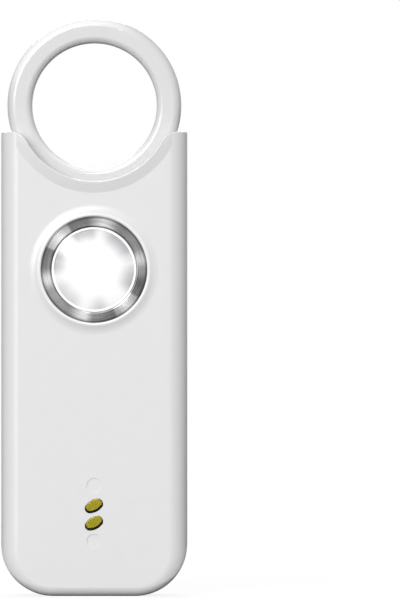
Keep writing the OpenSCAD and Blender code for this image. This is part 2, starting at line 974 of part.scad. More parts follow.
// Coil core: a ferrite drum on the back of the board
module coil_core() {
    color("dimgray") {
        rod(coil_x, parts_z, coil_r, board_back, board_back + coil_flange);
        rod(coil_x, parts_z, coil_hub, board_back, board_back + coil_h);
        rod(coil_x, parts_z, coil_r, board_back + coil_h - coil_flange, board_back + coil_h);
    }
}

// Coil winding: copper between the drum's flanges
module coil_winding() {
    color("chocolate")
        difference() {
            rod(
                coil_x, parts_z, coil_r - coil_inset,
                board_back + coil_flange, board_back + coil_h - coil_flange
            );
            rod(coil_x, parts_z, coil_hub, 0, front);
        }
}

// Controller chip with four legs on each side
module controller_chip() {
    body = [5, 1.5, 3.9];
    leg = [0.45, 0.8, 0.9];
    pitch = 1.27;
    leg_z = (body[2] + leg[2]) / 2;
    color("black") {
        block(
            [chip_x - body[0] / 2, board_back, parts_z - body[2] / 2],
            [chip_x + body[0] / 2, board_back + body[1], parts_z + body[2] / 2]
        );
        for (i = [-1.5:1:1.5], side = [-1, 1])
            translate([chip_x + i * pitch, board_back + leg[1] / 2, parts_z + side * leg_z])
                cube(leg, center = true);
    }
}

// Small parts soldered round the controller: resistors and capacitors
module surface_parts() {
    size = [1.6, 0.8, 0.8];
    pitch = 2;
    color("tan")
        for (i = [0:3])
            translate([chip_x + (i - 1.5) * pitch, board_back + size[1] / 2, parts_z - row_drop])
                cube(size, center = true);
}

front_shell();
rear_shell();
shell_screws();
bezel();
button_collar();
button_lens();
light_switch();
light_switch_plunger();
reflector();
light_chip();
pull_ring();
retaining_clip();
trigger_switch();
trigger_plunger();
charge_contact(contact_heights[0]);  // charge_contact_upper
charge_contact(contact_heights[1]);  // charge_contact_lower
contact_carrier();
charge_magnet(magnet_heights[0]);  // charge_magnet_upper
charge_magnet(magnet_heights[1]);  // charge_magnet_lower
main_board();
battery_cell();
cell_guard_board();
cell_pad();
cell_lead_red();
cell_lead_black();
siren_disc();
siren_ceramic();
siren_gasket();
siren_lead_disc();
siren_lead_ceramic();
coil_core();
coil_winding();
controller_chip();
surface_parts();
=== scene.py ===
import math

import bmesh
import bpy
from mathutils import Matrix, Vector


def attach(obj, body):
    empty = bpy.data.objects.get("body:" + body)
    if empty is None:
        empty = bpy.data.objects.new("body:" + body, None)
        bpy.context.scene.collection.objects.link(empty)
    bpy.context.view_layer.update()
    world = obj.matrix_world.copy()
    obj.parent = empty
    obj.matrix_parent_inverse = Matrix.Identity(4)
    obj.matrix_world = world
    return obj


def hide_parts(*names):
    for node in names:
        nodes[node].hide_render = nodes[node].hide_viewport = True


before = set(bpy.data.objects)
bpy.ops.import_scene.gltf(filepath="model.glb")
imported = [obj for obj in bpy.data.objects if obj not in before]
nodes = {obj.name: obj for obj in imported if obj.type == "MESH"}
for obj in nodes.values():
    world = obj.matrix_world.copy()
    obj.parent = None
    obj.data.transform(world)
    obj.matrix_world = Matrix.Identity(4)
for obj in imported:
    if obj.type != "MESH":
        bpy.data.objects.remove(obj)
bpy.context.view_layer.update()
scene = bpy.context.scene
mm = 0.001


# Studio. A pale floor under a broad lamp from the front and upper left, with a lamp behind for the upper edges, in a
# room that is paler on the right, and a level camera far away. The case takes up 185.5 of the picture's 400 pixels.
scene.view_settings.view_transform = "Standard"

pixel = 35 * mm / 185.5
camera_distance = 1.5
camera = bpy.data.objects.new("camera", bpy.data.cameras.new("camera"))
camera.data.lens = 36 * camera_distance / (598 * pixel)
camera.location = ((200 - 94.5) * pixel, -camera_distance, (594.9 - 299) * pixel)
camera.rotation_euler = (math.radians(90), 0, 0)
scene.collection.objects.link(camera)
scene.camera = camera

for name, toward, strength, spread in (
    ("key_light", (-0.28, -0.82, 0.32), 2.5, 40),
    ("back_light", (-0.10, 0.85, 0.50), 3.0, 30),
):
    lamp = bpy.data.objects.new(name, bpy.data.lights.new(name, "SUN"))
    lamp.data.energy = strength
    lamp.data.angle = math.radians(spread)
    lamp.rotation_euler = Vector(toward).to_track_quat("Z", "Y").to_euler()
    scene.collection.objects.link(lamp)


def background_rays(tree):
    """Mask of the rays that show the background: straight to the camera or through a clear piece."""
    path = tree.nodes.new("ShaderNodeLightPath")
    seen = tree.nodes.new("ShaderNodeMath")
    seen.use_clamp = True
    tree.links.new(path.outputs["Is Camera Ray"], seen.inputs[0])
    tree.links.new(path.outputs["Is Transmission Ray"], seen.inputs[1])
    return seen.outputs[0]


def mixed_color(tree, share, first, second):
    """Colour between two others, by a share that changes over the surface."""
    mix = tree.nodes.new("ShaderNodeMix")
    mix.data_type = "RGBA"
    tree.links.new(share, mix.inputs[0])
    for socket, color in ((mix.inputs[6], first), (mix.inputs[7], second)):
        if isinstance(color, bpy.types.NodeSocket):
            tree.links.new(color, socket)
        else:
            socket.default_value = (*color, 1)
    return mix.outputs[2]


scene.world = bpy.data.worlds.new("studio")
scene.world.use_nodes = True
air = scene.world.node_tree
outward = air.nodes.new("ShaderNodeTexCoord")
sideways = air.nodes.new("ShaderNodeSeparateXYZ")
air.links.new(outward.outputs["Generated"], sideways.inputs[0])
room = air.nodes.new("ShaderNodeMapRange")
room.inputs["From Min"].default_value = -1
room.inputs["To Min"].default_value = 0.31
room.inputs["To Max"].default_value = 0.65
air.links.new(sideways.outputs["X"], room.inputs["Value"])
air.links.new(
    mixed_color(air, background_rays(air), room.outputs["Result"], (1, 1, 1)), air.nodes["Background"].inputs["Color"]
)

floor_paint = bpy.data.materials.new("floor_paint")
floor_paint.use_nodes = True
paint = floor_paint.node_tree
paint.nodes.remove(paint.nodes["Principled BSDF"])
floor_seen = background_rays(paint)
matte = paint.nodes.new("ShaderNodeBsdfDiffuse")
paint.links.new(mixed_color(paint, floor_seen, (0.13, 0.13, 0.13), (0.86, 0.86, 0.86)), matte.inputs["Color"])
white = paint.nodes.new("ShaderNodeEmission")
share = paint.nodes.new("ShaderNodeMath")
share.operation = "MULTIPLY"
share.inputs[1].default_value = 0.85
paint.links.new(floor_seen, share.inputs[0])
floor_mix = paint.nodes.new("ShaderNodeMixShader")
paint.links.new(share.outputs[0], floor_mix.inputs[0])
paint.links.new(matte.outputs[0], floor_mix.inputs[1])
paint.links.new(white.outputs[0], floor_mix.inputs[2])
paint.links.new(floor_mix.outputs[0], paint.nodes["Material Output"].inputs["Surface"])

sweep = bmesh.new()
bmesh.ops.create_grid(sweep, x_segments=1, y_segments=1, size=4)
floor = bpy.data.objects.new("floor", bpy.data.meshes.new("floor"))
sweep.to_mesh(floor.data)
sweep.free()
floor.data.materials.append(floor_paint)
scene.collection.objects.link(floor)


# Front shell. White ABS, injection moulded with a fine satin skin. Its top is scooped out to follow the ring, with a
# raised lip, and its face swells to a rim round the light, where a faint glow, painted light, is put on the face. Its
# edge enters the rear shell, and four screws hold it.
surface_grain = bpy.data.node_groups.new("surface_grain", "ShaderNodeTree")
for label, size in (("Grain", 9000.0), ("Patch", 300.0)):
    surface_grain.interface.new_socket(label, in_out="INPUT", socket_type="NodeSocketFloat").default_value = size
for label in ("Height", "Tone"):
    surface_grain.interface.new_socket(label, in_out="OUTPUT", socket_type="NodeSocketFloat")
grain_in = surface_grain.nodes.new("NodeGroupInput")
grain_out = surface_grain.nodes.new("NodeGroupOutput")
grain_place = surface_grain.nodes.new("ShaderNodeTexCoord")
for label, size, detail in (("Height", "Grain", 2), ("Tone", "Patch", 4)):
    noise = surface_grain.nodes.new("ShaderNodeTexNoise")
    noise.inputs["Detail"].default_value = detail
    surface_grain.links.new(grain_place.outputs["Object"], noise.inputs["Vector"])
    surface_grain.links.new(grain_in.outputs[size], noise.inputs["Scale"])
    surface_grain.links.new(noise.outputs["Fac"], grain_out.inputs[label])


def grained(name, color, shade, rough, metal=0.0, grain=9000.0, patch=300.0, depth=1e-6):
    """Finish of one substance: its colour drifts to a shade of itself in soft patches, over a fine grain."""
    finish = bpy.data.materials.new(name)
    finish.use_nodes = True
    tree = finish.node_tree
    shader = tree.nodes["Principled BSDF"]
    shader.inputs["Metallic"].default_value = metal
    skin = tree.nodes.new("ShaderNodeGroup")
    skin.name = "skin"
    skin.node_tree = surface_grain
    skin.inputs["Grain"].default_value = grain
    skin.inputs["Patch"].default_value = patch
    tree.links.new(mixed_color(tree, skin.outputs["Tone"], color, shade), shader.inputs["Base Color"])
    polish = tree.nodes.new("ShaderNodeMapRange")
    polish.inputs["To Min"].default_value = 0.82 * rough
    polish.inputs["To Max"].default_value = 1.18 * rough
    tree.links.new(skin.outputs["Tone"], polish.inputs["Value"])
    tree.links.new(polish.outputs["Result"], shader.inputs["Roughness"])
    relief = tree.nodes.new("ShaderNodeBump")
    relief.name = "relief"
    relief.inputs["Distance"].default_value = depth
    tree.links.new(skin.outputs["Height"], relief.inputs["Height"])
    tree.links.new(relief.outputs["Normal"], shader.inputs["Normal"])
    return finish


round_axis = bpy.data.node_groups.new("round_axis", "ShaderNodeTree")
round_axis.interface.new_socket("Centre", in_out="INPUT", socket_type="NodeSocketVector")
for label, kind in (("Radius", "NodeSocketFloat"), ("Angle", "NodeSocketFloat"), ("Around", "NodeSocketVector")):
    round_axis.interface.new_socket(label, in_out="OUTPUT", socket_type=kind)
axis_in = round_axis.nodes.new("NodeGroupInput")
axis_out = round_axis.nodes.new("NodeGroupOutput")
axis_place = round_axis.nodes.new("ShaderNodeTexCoord")
offset = round_axis.nodes.new("ShaderNodeVectorMath")
offset.operation = "SUBTRACT"
round_axis.links.new(axis_place.outputs["Object"], offset.inputs[0])
round_axis.links.new(axis_in.outputs["Centre"], offset.inputs[1])
flat = round_axis.nodes.new("ShaderNodeVectorMath")
flat.operation = "MULTIPLY"
flat.inputs[1].default_value = (1, 0, 1)
round_axis.links.new(offset.outputs[0], flat.inputs[0])
reach = round_axis.nodes.new("ShaderNodeVectorMath")
reach.operation = "LENGTH"
round_axis.links.new(flat.outputs[0], reach.inputs[0])
round_axis.links.new(reach.outputs["Value"], axis_out.inputs["Radius"])
heading = round_axis.nodes.new("ShaderNodeVectorMath")
heading.operation = "NORMALIZE"
round_axis.links.new(flat.outputs[0], heading.inputs[0])
round_axis.links.new(heading.outputs[0], axis_out.inputs["Around"])
sides = round_axis.nodes.new("ShaderNodeSeparateXYZ")
round_axis.links.new(flat.outputs[0], sides.inputs[0])
bearing = round_axis.nodes.new("ShaderNodeMath")
bearing.operation = "ARCTAN2"
round_axis.links.new(sides.outputs["Z"], bearing.inputs[0])
round_axis.links.new(sides.outputs["X"], bearing.inputs[1])
turn = round_axis.nodes.new("ShaderNodeMath")
turn.operation = "MULTIPLY"
turn.inputs[1].default_value = 1 / (2 * math.pi)
round_axis.links.new(bearing.outputs[0], turn.inputs[0])
whole = round_axis.nodes.new("ShaderNodeMath")
whole.operation = "FRACT"
round_axis.links.new(turn.outputs[0], whole.inputs[0])
round_axis.links.new(whole.outputs[0], axis_out.inputs["Angle"])


def math_node(tree, operation, first, second=None):
    """Value worked out from one or two others."""
    node = tree.nodes.new("ShaderNodeMath")
    node.operation = operation
    for socket, value in ((node.inputs[0], first), (node.inputs[1], second)):
        if isinstance(value, bpy.types.NodeSocket):
            tree.links.new(value, socket)
        elif value is not None:
            socket.default_value = value
    return node.outputs[0]


def ramp(tree, value, *stops):
    """Grey tone that follows a value through the given stops."""
    node = tree.nodes.new("ShaderNodeValToRGB")
    node.color_ramp.interpolation = "EASE"
    tree.links.new(value, node.inputs["Fac"])
    marks = node.color_ramp.elements
    while len(marks) < len(stops):
        marks.new(0.5)
    for mark, (place, tone) in zip(marks, stops):
        mark.position = place
        mark.color = (tone, tone, tone, 1)
    return node.outputs["Color"]


def axis_at(tree, centre):
    """Radius, angle and direction about an axis along Y."""
    node = tree.nodes.new("ShaderNodeGroup")
    node.node_tree = round_axis
    node.inputs["Centre"].default_value = centre
    return node.outputs


def merged_copy(node):
    """A CAD node's mesh as one closed skin, with its loose triangles joined into faces."""
    shape = bmesh.new()
    shape.from_mesh(nodes[node].data)
    bmesh.ops.remove_doubles(shape, verts=shape.verts, dist=2e-6)
    bmesh.ops.dissolve_limit(shape, angle_limit=math.radians(0.05), verts=shape.verts, edges=shape.edges)
    return shape


def soften(shape, width, steps, shows, within=True):
    """Rounds the sharp edges whose middle, given as x, depth from the parting plane and height, passes a test. With
    within, the width gives way to short edges beside them."""
    shape.normal_update()
    sharp = []
    for edge in shape.edges:
        if edge.is_manifold and edge.calc_face_angle() > math.radians(38):
            middle = (edge.verts[0].co + edge.verts[1].co) / (2 * mm)
            if shows(middle.x, abs(middle.y), middle.z):
                sharp.append(edge)
    bmesh.ops.bevel(
        shape, geom=sharp, offset=width, offset_type="OFFSET", affect="EDGES", segments=steps, profile=0.5,
        material=-1, clamp_overlap=within,
    )
    bmesh.ops.remove_doubles(shape, verts=shape.verts, dist=4e-6)


def finished(name, shape, node, body, slot, *finishes):
    """The piece made from a shape, in place of a CAD node."""
    mesh = bpy.data.meshes.new(name)
    shape.to_mesh(mesh)
    shape.free()
    if "custom_normal" in mesh.attributes:
        mesh.attributes.remove(mesh.attributes["custom_normal"])
    for finish in finishes:
        mesh.materials.append(finish)
    mesh.shade_smooth()
    mesh.set_sharp_from_angle(angle=math.radians(38))
    thing = bpy.data.objects.new(name, mesh)
    scene.collection.objects.link(thing)
    thing.modifiers.new("even_shading", "WEIGHTED_NORMAL").keep_sharp = True
    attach(thing, body)
    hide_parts(node)
    return thing


def crease(thing, along):
    """Keeps the edges crisp whose middle, given as x, depth and height, passes a test."""
    places = thing.data.vertices
    for edge in thing.data.edges:
        middle = (places[edge.vertices[0]].co + places[edge.vertices[1]].co) / (2 * mm)
        if along(middle.x, abs(middle.y), middle.z):
            edge.use_edge_sharp = True


case_half, corner = 17.5, 9.8
case_top = 87.3
ring_z = 92.0
light_z = 61.35
light_centre = (0, 0, light_z * mm)

shell_white = grained("shell_white", (0.765, 0.765, 0.765), (0.735, 0.735, 0.735), 0.42, grain=8000, depth=1.2e-6)
shell_tree = shell_white.node_tree
shell_shader = shell_tree.nodes["Principled BSDF"]
# A faint glow on the face round the light, painted light that makes the rim paler.
shell_axis = axis_at(shell_tree, light_centre)
painted_glow_near_light = ramp(
    shell_tree, math_node(shell_tree, "MULTIPLY", shell_axis["Radius"], 1 / (20 * mm)),
    (0.50, 1.0), (0.515, 0.5), (0.54, 0.1), (0.60, 0.0),
)
shell_place = shell_tree.nodes.new("ShaderNodeTexCoord")
shell_sides = shell_tree.nodes.new("ShaderNodeSeparateXYZ")
shell_tree.links.new(shell_place.outputs["Object"], shell_sides.inputs[0])
on_front = math_node(shell_tree, "LESS_THAN", shell_sides.outputs["Y"], -7.02 * mm)
shell_tree.links.new(math_node(shell_tree, "MULTIPLY", painted_glow_near_light, on_front), shell_shader.inputs["Emission Color"])
shell_shader.inputs["Emission Strength"].default_value = 0.3
shell_shader.inputs["Coat Weight"].default_value = 0.6
shell_shader.inputs["Coat Roughness"].default_value = 0.2


def on_scoop(x, depth, z):
    """Outer edge of the scoop and of the shoulders."""
    on_side = abs(x) > case_half - 1.3 and z > case_top - 0.05 and depth > 0.2
    return on_side or (z > 76 and depth > 3.9 and math.hypot(x, z - ring_z) < 17.6)


def on_pocket(x, depth, z):
    """Edge of the pocket that the ring stands in."""
    return z > 74 and depth < 3.9 and abs(x) < case_half - 0.5 and math.hypot(x, z - ring_z) < 17.2 and depth > 0.05


def on_parting(x, depth, z):
    """Edge of a shell where it meets the other one, all round the outside."""
    if depth > 0.01:
        return False
    corner_out = math.hypot(abs(x) - case_half + corner, z - corner) > corner - 0.1
    return abs(x) > case_half - 0.05 or z < 0.05 or (z < corner and abs(x) > case_half - corner and corner_out)


# The foot of the swelling runs out flat into the face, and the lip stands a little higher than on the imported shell.
front = merged_copy("front_shell")
for point in front.verts:
    out = math.hypot(point.co.x, point.co.z - light_z * mm) / mm
    if point.co.y < -7.01 * mm and 10.4 < out < 12.3:
        point.co.y = -(7 + 0.55 * ((12.33 - out) / 1.97) ** 2.5) * mm
    if point.co.y < -3.8 * mm and math.hypot(point.co.x, point.co.z - ring_z * mm) < 16.6 * mm:
        point.co.z += 0.18 * mm * min(1, max(0, (86 - point.co.z / mm) / 6))
# Points that crowd the lip's ends are joined, so that the scoop's edge is rounded in full.
lip_ends = [v for v in front.verts if v.co.y < -7.25 * mm and v.co.z > 86.4 * mm]
bmesh.ops.remove_doubles(front, verts=lip_ends, dist=0.26 * mm)
soften(front, 0.30 * mm, 5, on_scoop, False)
soften(front, 0.12 * mm, 2, on_pocket)
soften(front, 0.18 * mm, 2, on_parting)
soften(front, 0.10 * mm, 3, lambda x, depth, z: depth > 7 and 9.8 < math.hypot(x, z - light_z) < 10.4)
soften(front, 0.07 * mm, 2, lambda x, depth, z: depth > 6.9 and abs(x) < 2.7 and 11.9 < z < 19.2)
soften(front, 0.04 * mm, 2, lambda x, depth, z: depth > 6.95 and abs(x) < 1.5 and 8 < z < 22.5)
front_moulding = finished("front_shell_moulding", front, "front_shell", "housing", "shell_white", shell_white)
# The lip's foot stays crisp, and the face stays flat up to the openings in it.
crease(
    front_moulding,
    lambda x, depth, z: abs(depth - 7) < 0.02 and z < case_top - 0.5 and 16.1 < math.hypot(x, z - ring_z) < 16.46,
)
crease(front_moulding, lambda x, depth, z: abs(depth - 7) < 0.003 and abs(x) < 5 and 7 < z < 24)


# Bezel. A ring of dark plated steel, spun on a lathe, so that fine lines run round it; its face is painted with bright
# and dark sectors, painted reflections and shade, and is painted darker at its outer edge.
# Its sleeve passes through the shell, and its flange lies in the recess inside the rim.
def lathe_lines(tree, axis, spacing):
    """Tone of the fine lines that turning leaves round an axis."""
    side = tree.nodes.new("ShaderNodeVectorMath")
    side.operation = "SCALE"
    side.inputs["Scale"].default_value = 2.5
    tree.links.new(axis["Around"], side.inputs[0])
    out = tree.nodes.new("ShaderNodeCombineXYZ")
    tree.links.new(math_node(tree, "MULTIPLY", axis["Radius"], 1 / spacing), out.inputs["Y"])
    place = tree.nodes.new("ShaderNodeVectorMath")
    tree.links.new(side.outputs[0], place.inputs[0])
    tree.links.new(out.outputs[0], place.inputs[1])
    noise = tree.nodes.new("ShaderNodeTexNoise")
    noise.inputs["Scale"].default_value = 1
    noise.inputs["Detail"].default_value = 3
    tree.links.new(place.outputs[0], noise.inputs["Vector"])
    return noise.outputs["Fac"]


bezel_metal = bpy.data.materials.new("bezel_metal")
bezel_metal.use_nodes = True
spun = bezel_metal.node_tree
spun_shader = spun.nodes["Principled BSDF"]
spun_shader.inputs["Metallic"].default_value = 1
spun_axis = axis_at(spun, light_centre)
# Bright and dark sectors, painted reflections and painted shade, set to follow the tones in the photograph.
painted_sectors = ramp(
    spun, spun_axis["Angle"],
    (0.000, 0.33), (0.035, 0.66), (0.075, 0.29), (0.155, 0.23), (0.217, 0.66), (0.275, 0.18), (0.330, 0.18),
    (0.342, 0.50), (0.383, 0.82), (0.424, 0.52), (0.432, 0.19), (0.490, 0.23), (0.535, 0.74), (0.575, 0.35),
    (0.655, 0.30), (0.717, 0.78), (0.750, 0.27), (0.818, 0.18), (0.828, 0.42), (0.867, 0.82), (0.906, 0.48),
    (0.914, 0.18), (0.955, 0.14), (1.000, 0.33),
)
# Painted shade across the face: much darker at the outer edge, and a little darker on the inner chamfer.
painted_shade_across = ramp(
    spun, math_node(spun, "MULTIPLY", spun_axis["Radius"], 1 / (10 * mm)),
    (0.82, 0.78), (0.84, 0.88), (0.945, 0.82), (0.975, 0.42),
)
lines = lathe_lines(spun, spun_axis, 0.11 * mm)
line_tone = ramp(spun, lines, (0.25, 0.62), (0.75, 1.0))
painted_sheen_and_lines = math_node(spun, "MULTIPLY", math_node(spun, "MULTIPLY", painted_sectors, painted_shade_across), line_tone)
spun.links.new(painted_sheen_and_lines, spun_shader.inputs["Base Color"])
spun_rough = spun.nodes.new("ShaderNodeMapRange")
spun_rough.inputs["To Min"].default_value = 0.26
spun_rough.inputs["To Max"].default_value = 0.40
spun.links.new(lines, spun_rough.inputs["Value"])
spun.links.new(spun_rough.outputs["Result"], spun_shader.inputs["Roughness"])
spun_relief = spun.nodes.new("ShaderNodeBump")
spun_relief.inputs["Distance"].default_value = 4e-6
spun.links.new(lines, spun_relief.inputs["Height"])
spun.links.new(spun_relief.outputs["Normal"], spun_shader.inputs["Normal"])


def turned_piece(profile, rounding, steps):
    """Closed ring or disc turned about the light's axis from a profile of radius and depth, in millimetres."""
    shape = bmesh.new()
    corners = [shape.verts.new((r * mm, -depth * mm, light_z * mm)) for r, depth in profile]
    shape.faces.new(corners)
    bmesh.ops.bevel(
        shape, geom=[v for v in shape.verts if v.co.x > 1e-6], offset=rounding, offset_type="OFFSET",
        affect="VERTICES", segments=3, profile=0.5, material=-1, clamp_overlap=True,
    )
    bmesh.ops.delete(shape, geom=shape.faces[:], context="FACES_ONLY")
    on_axis = [e for e in shape.edges if all(abs(v.co.x) < 1e-9 for v in e.verts)]
    bmesh.ops.delete(shape, geom=on_axis, context="EDGES")
    bmesh.ops.spin(
        shape, geom=shape.edges[:], cent=light_centre, axis=(0, 1, 0), angle=2 * math.pi, steps=steps, use_merge=True
    )
    bmesh.ops.remove_doubles(shape, verts=shape.verts, dist=1e-7)
    bmesh.ops.recalc_face_normals(shape, faces=shape.faces)
    return shape


bezel = turned_piece(
    [
        (8.0, 4.9), (9.0, 4.9), (9.0, 6.75), (9.95, 6.75), (9.95, 7.28), (9.87, 7.36), (8.24, 7.365), (8.06, 7.335),
        (8.0, 7.2),
    ],
    0.02 * mm, 160,
)
finished("bezel_ring", bezel, "bezel", "housing", "bezel_metal", bezel_metal)


# Button collar. Glossy white plastic, moulded. It carries the lens in its front, slides in the bezel's sleeve and is
# kept in by a flange behind it.
collar_white = grained("collar_white", (0.88, 0.88, 0.88), (0.85, 0.85, 0.85), 0.22, grain=14000, depth=3e-7)
collar_shader = collar_white.node_tree.nodes["Principled BSDF"]
# A faint even glow, painted light that makes the collar paler.
collar_shader.inputs["Emission Color"].default_value = (1, 1, 1, 1)
collar_shader.inputs["Emission Strength"].default_value = 0.28
collar = merged_copy("button_collar")
soften(collar, 0.10 * mm, 3, lambda x, depth, z: depth > 7.1)
finished("button_collar_moulding", collar, "button_collar", "button", "collar_white", collar_white)


# Button lens. Clear plastic, frosted behind, with a low dome. It glows white in the middle, standing for the lit chip
# in the cup below, and its glow is painted into six soft beams towards the edge, with painted shade between them.
lens_plastic = bpy.data.materials.new("lens_plastic")
lens_plastic.use_nodes = True
lens_tree = lens_plastic.node_tree
lens_shader = lens_tree.nodes["Principled BSDF"]
lens_shader.inputs["Emission Strength"].default_value = 1
lens_shader.inputs["Coat Roughness"].default_value = 0.05
lens_axis = axis_at(lens_tree, light_centre)
# Painted shade between the beams: how dark the lens is painted there, set to follow the tones in the photograph.
painted_shade_between_beams = ramp(
    lens_tree, lens_axis["Angle"],
    (0.00, 0.54), (0.03, 0.30), (0.05, 0.42), (0.09, 0.80), (0.16, 0.82), (0.22, 0.40), (0.265, 1.0), (0.325, 1.0),
    (0.365, 0.30), (0.40, 0.26), (0.445, 0.98), (0.48, 0.90), (0.535, 0.24), (0.59, 0.50), (0.65, 0.48), (0.71, 0.14),
    (0.775, 0.52), (0.83, 0.12), (0.88, 0.08), (0.945, 0.72), (0.975, 0.70), (1.00, 0.54),
)
frost = lens_tree.nodes.new("ShaderNodeGroup")
frost.node_tree = surface_grain
frost.inputs["Grain"].default_value = 7000
frost.inputs["Patch"].default_value = 900
towards_edge = ramp(
    lens_tree, math_node(lens_tree, "MULTIPLY", lens_axis["Radius"], 1 / (7.5 * mm)), (0.50, 0.0), (1.0, 1.0)
)
painted_shade_and_dimming = math_node(lens_tree, "MULTIPLY", painted_shade_between_beams, towards_edge)
glow = math_node(lens_tree, "MULTIPLY", math_node(lens_tree, "SUBTRACT", 1.0, painted_shade_and_dimming), 0.55)
lens_tree.links.new(glow, lens_shader.inputs["Emission Color"])
lens_tree.links.new(
    mixed_color(
        lens_tree, painted_shade_and_dimming,
        mixed_color(lens_tree, frost.outputs["Tone"], (0.53, 0.53, 0.54), (0.50, 0.50, 0.51)), (0.34, 0.34, 0.35),
    ),
    lens_shader.inputs["Base Color"],
)
lens_rough = lens_tree.nodes.new("ShaderNodeMapRange")
lens_rough.inputs["To Min"].default_value = 0.14
lens_rough.inputs["To Max"].default_value = 0.24
lens_tree.links.new(frost.outputs["Tone"], lens_rough.inputs["Value"])
lens_tree.links.new(lens_rough.outputs["Result"], lens_shader.inputs["Roughness"])

dome_radius = 56.5
lens = bmesh.new()
crown = lens.verts.new((0, -7.7 * mm, light_z * mm))
bmesh.ops.spin(
    lens, geom=[crown], cent=(0, (dome_radius - 7.7) * mm, light_z * mm), axis=(0, 0, 1),
    angle=math.asin(7.5 / dome_radius), steps=12,
)
rim = max(lens.verts, key=lambda v: v.co.x)
below = bmesh.ops.extrude_vert_indiv(lens, verts=[rim])["verts"][0]
below.co.y = -6.35 * mm
inner = bmesh.ops.extrude_vert_indiv(lens, verts=[below])["verts"][0]
inner.co.x = 0
bmesh.ops.bevel(
    lens, geom=[rim], offset=0.12 * mm, offset_type="OFFSET", affect="VERTICES", segments=3, profile=0.5, material=-1,
)
bmesh.ops.spin(
    lens, geom=lens.edges[:], cent=light_centre, axis=(0, 1, 0), angle=2 * math.pi, steps=128, use_merge=True
)
bmesh.ops.remove_doubles(lens, verts=lens.verts, dist=1e-7)
bmesh.ops.recalc_face_normals(lens, faces=lens.faces)
finished("button_lens_moulding", lens, "button_lens", "button", "lens_plastic", lens_plastic)


# Charging contacts. Two gold-plated brass studs, pressed into a black carrier that insulates them from each other. The
# carrier's rims fill the openings in the shell, and two magnets in it draw the charging lead on.
contact_gold = grained(
    "contact_gold", (0.47, 0.40, 0.036), (0.43, 0.365, 0.032), 0.24, metal=1, grain=16000, patch=1500, depth=3e-7
)
gold_tree = contact_gold.node_tree
gold_shader = gold_tree.nodes["Principled BSDF"]
# Their edges are darkened by the way that the surface faces, to follow the photograph.
facing = gold_tree.nodes.new("ShaderNodeNewGeometry")
facing_sides = gold_tree.nodes.new("ShaderNodeSeparateXYZ")
gold_tree.links.new(facing.outputs["Normal"], facing_sides.inputs[0])
edge_shade = ramp(
    gold_tree, math_node(gold_tree, "MULTIPLY", facing_sides.outputs["Y"], -1), (0.91, 1.0), (0.997, 0.0)
)
bright_gold = gold_shader.inputs["Base Color"].links[0].from_socket
gold_tree.links.new(
    mixed_color(gold_tree, edge_shade, bright_gold, (0.030, 0.025, 0.004)), gold_shader.inputs["Base Color"]
)
for place, stud_z in (("upper", 17.175), ("lower", 13.925)):
    stud = merged_copy(f"charge_contact_{place}")
    middle = Vector((0, 0, stud_z * mm))
    bmesh.ops.scale(stud, vec=(1.03, 1, 1.07), space=Matrix.Translation(-middle), verts=stud.verts)
    bmesh.ops.translate(stud, vec=(0, 0, -0.05 * mm), verts=stud.verts)
    soften(stud, 0.12 * mm, 4, lambda x, depth, z: depth > 7.1)
    finished(f"charge_stud_{place}", stud, f"charge_contact_{place}", "housing", "contact_gold", contact_gold)


def coat(finish, *names):
    """Gives CAD nodes that keep their shape their finish."""
    for name in names:
        nodes[name].material_slots[0].material = finish


# Black plastic, made nearly lightless; its rim, showing as a crescent below each stud, is partly painted shade for the
# studs.
carrier_black = grained("carrier_black", (0.003, 0.003, 0.003), (0.005, 0.005, 0.005), 0.6, grain=9000, depth=1e-6)
carrier_black.node_tree.nodes["Principled BSDF"].inputs["Specular IOR Level"].default_value = 0.15
magnet_nickel = grained("magnet_nickel", (0.62, 0.61, 0.58), (0.54, 0.53, 0.50), 0.22, metal=1, patch=900, depth=5e-7)
coat(carrier_black, "contact_carrier")
coat(magnet_nickel, "charge_magnet_upper", "charge_magnet_lower")


# Circuit board. Glass-fibre sheet under green solder mask, where the copper tracks show as paler lines. It rests on the
# screw posts and carries the chip, the coil and a row of small fired parts on its back.
board_green = grained("board_green", (0.018, 0.16, 0.06), (0.03, 0.24, 0.09), 0.38, grain=5000, patch=500, depth=2e-6)
mask_tree = board_green.node_tree
board_place = mask_tree.nodes.new("ShaderNodeTexCoord")
tracks = mask_tree.nodes.new("ShaderNodeTexVoronoi")
tracks.distance = "MANHATTAN"
tracks.feature = "F1"
tracks.inputs["Scale"].default_value = 420
mask_tree.links.new(board_place.outputs["Object"], tracks.inputs["Vector"])
track_lines = ramp(
    mask_tree, math_node(mask_tree, "PINGPONG", tracks.outputs["Distance"], 0.18), (0.10, 0.0), (0.16, 1.0)
)
bare_mask = mask_tree.nodes["Principled BSDF"].inputs["Base Color"].links[0].from_socket
mask_tree.links.new(
    mixed_color(mask_tree, track_lines, bare_mask, (0.05, 0.33, 0.13)),
    mask_tree.nodes["Principled BSDF"].inputs["Base Color"],
)
coat(board_green, "main_board")

chip_black = grained("chip_black", (0.02, 0.02, 0.021), (0.035, 0.035, 0.036), 0.55, grain=12000, depth=3e-6)
parts_tan = grained("parts_tan", (0.42, 0.30, 0.17), (0.50, 0.37, 0.23), 0.5, grain=15000, patch=1800, depth=2e-6)
ferrite_grey = grained("ferrite_grey", (0.07, 0.07, 0.075), (0.11, 0.11, 0.115), 0.6, grain=7000, patch=900, depth=6e-6)
copper_wire = grained("copper_wire", (0.58, 0.25, 0.11), (0.46, 0.18, 0.07), 0.3, metal=1, patch=1200)
wire_tree = copper_wire.node_tree
coil_place = wire_tree.nodes.new("ShaderNodeTexCoord")
turns = wire_tree.nodes.new("ShaderNodeTexWave")
turns.bands_direction = "Y"
turns.inputs["Scale"].default_value = 1400
wire_tree.links.new(coil_place.outputs["Object"], turns.inputs["Vector"])
wire_tree.nodes["relief"].inputs["Distance"].default_value = 6e-5
